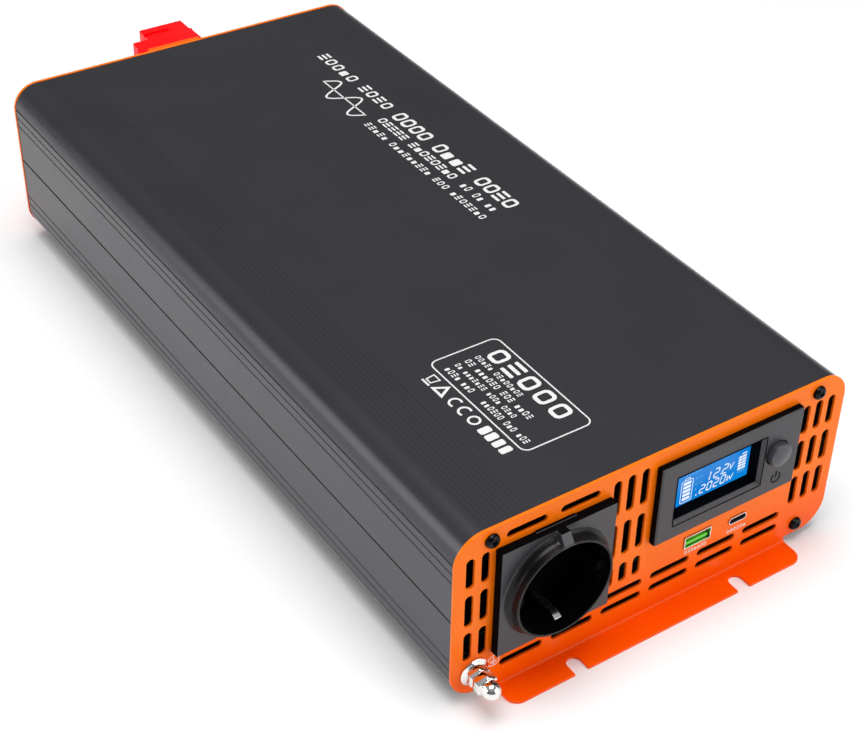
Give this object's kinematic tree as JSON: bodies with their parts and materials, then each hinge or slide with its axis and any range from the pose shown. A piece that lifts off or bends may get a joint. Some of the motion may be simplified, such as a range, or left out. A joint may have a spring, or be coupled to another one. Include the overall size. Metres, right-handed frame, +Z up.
{
  "type": "power inverter",
  "caption": "Mains power inverter in an extruded aluminium case with flanged end plates, a recessed mains outlet, a display, charging ports, fans and battery terminals.",
  "frame": {"origin": "under the middle of the overall box, on the surface the flanges stand on", "axes": "+X to the right seen from the outlet end, +Y towards the battery terminals, +Z up"},
  "size_m": [0.18, 0.4135, 0.0801],
  "materials": {
    "anodised": "charcoal anodised extruded aluminium, satin",
    "orange_coat": "glossy orange powder coat over steel sheet",
    "black_steel": "black oxide steel",
    "zinc_steel": "bright zinc plated steel",
    "chrome": "polished chrome plate",
    "black_plastic": "fine-grained black plastic",
    "button_plastic": "satin dark grey plastic",
    "display": "lit blue display behind clear plastic",
    "white_plastic": "white moulded plastic",
    "board_green": "green solder mask over glass-epoxy board",
    "green_plastic": "green moulded plastic",
    "fan_plastic": "black fan plastic",
    "red_plastic": "red moulded plastic",
    "brass": "bright brass",
    "copper": "bare copper bar",
    "bare_aluminium": "bare extruded aluminium",
    "epoxy": "black moulded epoxy and sleeving",
    "ferrite": "dark grey sintered ferrite",
    "enamelled_copper": "enamelled copper wire",
    "sleeve_blue": "blue shrink sleeve over aluminium can",
    "ring_core": "yellow painted powdered-iron ring",
    "fuse_plastic": "translucent orange fuse plastic"
  },
  "bodies": {
    "case": {"case_top": "anodised", "case_bottom": "anodised", "front_plate": "orange_coat", "front_flange": "orange_coat", "rear_plate": "orange_coat", "rear_flange": "orange_coat", "front_screws": "black_steel", "rear_screws": "black_steel", "earth_stud": "zinc_steel", "earth_flange_nut": "chrome", "earth_cap_nut": "chrome", "earth_inner_nut": "zinc_steel", "outlet_body": "black_plastic", "outlet_rear_cap": "black_plastic", "outlet_contacts": "brass", "outlet_earth_clips": "zinc_steel", "display_bezel": "black_plastic", "display_panel": "display", "display_frame": "white_plastic", "display_board": "board_green", "button_switch": "black_plastic", "port_a_shell": "zinc_steel", "port_a_tongue": "green_plastic", "port_c_shell": "zinc_steel", "port_c_tongue": "black_plastic", "port_board": "board_green", "fan_left_frame": "black_plastic", "fan_right_frame": "black_plastic", "fan_screws": "zinc_steel", "terminal_base_pos": "red_plastic", "terminal_base_neg": "black_plastic", "terminal_stud_pos": "brass", "terminal_stud_neg": "brass", "terminal_washers": "zinc_steel", "terminal_nuts": "zinc_steel", "terminal_inner_nuts": "zinc_steel", "bus_bar_pos": "copper", "bus_bar_neg": "copper", "main_board": "board_green", "heat_sink_left": "bare_aluminium", "heat_sink_right": "bare_aluminium", "power_transistors": "epoxy", "transistor_clips": "zinc_steel", "transformer_cores": "ferrite", "transformer_windings": "enamelled_copper", "input_capacitors": "sleeve_blue", "bus_capacitors": "epoxy", "inductor_cores": "ring_core", "inductor_windings": "enamelled_copper", "blade_fuses": "fuse_plastic", "control_board": "board_green", "control_chips": "epoxy", "sounder": "epoxy"},
    "power_button": {"power_button": "button_plastic", "switch_plunger": "white_plastic"},
    "fan_left_rotor": {"fan_left_rotor": "fan_plastic"},
    "fan_right_rotor": {"fan_right_rotor": "fan_plastic"},
    "terminal_cover_pos": {"terminal_cover_pos": "red_plastic"},
    "terminal_cover_neg": {"terminal_cover_neg": "black_plastic"}
  },
  "joints": [
    {"name": "power_button_press", "type": "slide", "parent": "case", "child": "power_button", "axis": [0, 1, 0], "range_m": [0, 0.0012], "stiffness_N_per_m": 400, "springref_m": -0.0002},
    {"name": "fan_left_spin", "type": "hinge", "parent": "case", "child": "fan_left_rotor", "pos_m": [-0.053, 0.15755, 0.0418], "axis": [0, 1, 0], "continuous": true},
    {"name": "fan_right_spin", "type": "hinge", "parent": "case", "child": "fan_right_rotor", "pos_m": [0.053, 0.15755, 0.0418], "axis": [0, 1, 0], "continuous": true},
    {"name": "cover_pos_pull", "type": "slide", "parent": "case", "child": "terminal_cover_pos", "axis": [0, 1, 0], "range_m": [0, 0.031]},
    {"name": "cover_neg_pull", "type": "slide", "parent": "case", "child": "terminal_cover_neg", "axis": [0, 1, 0], "range_m": [0, 0.031]}
  ]
}
